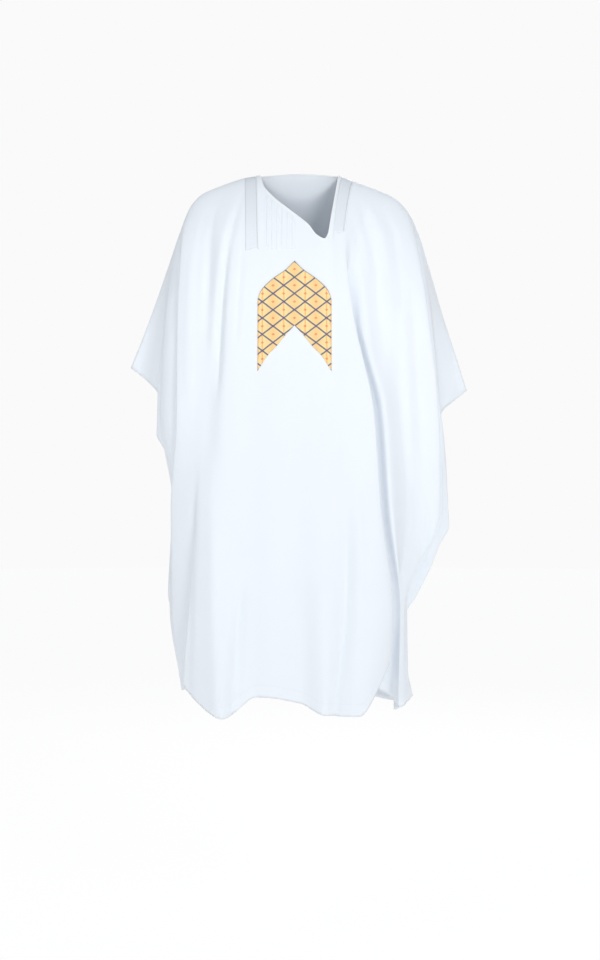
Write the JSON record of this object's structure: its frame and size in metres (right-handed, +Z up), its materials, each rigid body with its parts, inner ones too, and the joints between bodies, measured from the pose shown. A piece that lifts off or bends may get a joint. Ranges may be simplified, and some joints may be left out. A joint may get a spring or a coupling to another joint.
{
  "type": "grand boubou robe",
  "caption": "Wide hollow robe, worn and hanging in soft folds, with a slanted V neck, woven lattice chest patch, satin bands, pintucks and open sleeves and hem.",
  "frame": {"origin": "base of the neck at the middle of the shoulder line, where the wearer's shoulders hold the robe up", "axes": "+Z up, the front faces -Y, +X towards the viewer's right when seen from the front"},
  "size_m": [0.7164, 0.3673, 1.1268],
  "materials": {
    "suiting": "near-white smooth suiting cloth with a faint cool tint and a soft matte sheen",
    "satin": "pale grey satin",
    "piping": "white corded piping and bias binding",
    "lattice": "woven diamond lattice, dark slate lines on amber and peach"
  },
  "bodies": {
    "root": {"front_panel": "suiting", "back_panel": "suiting", "satin_band_left": "satin", "satin_band_right": "satin", "piping_left": "piping", "piping_right": "piping", "neck_binding_front": "piping", "neck_binding_back": "piping", "chest_patch": "lattice", "tuck_1": "suiting", "tuck_2": "suiting", "tuck_3": "suiting", "tuck_4": "suiting", "tuck_5": "suiting", "tuck_6": "suiting"}
  },
  "joints": []
}
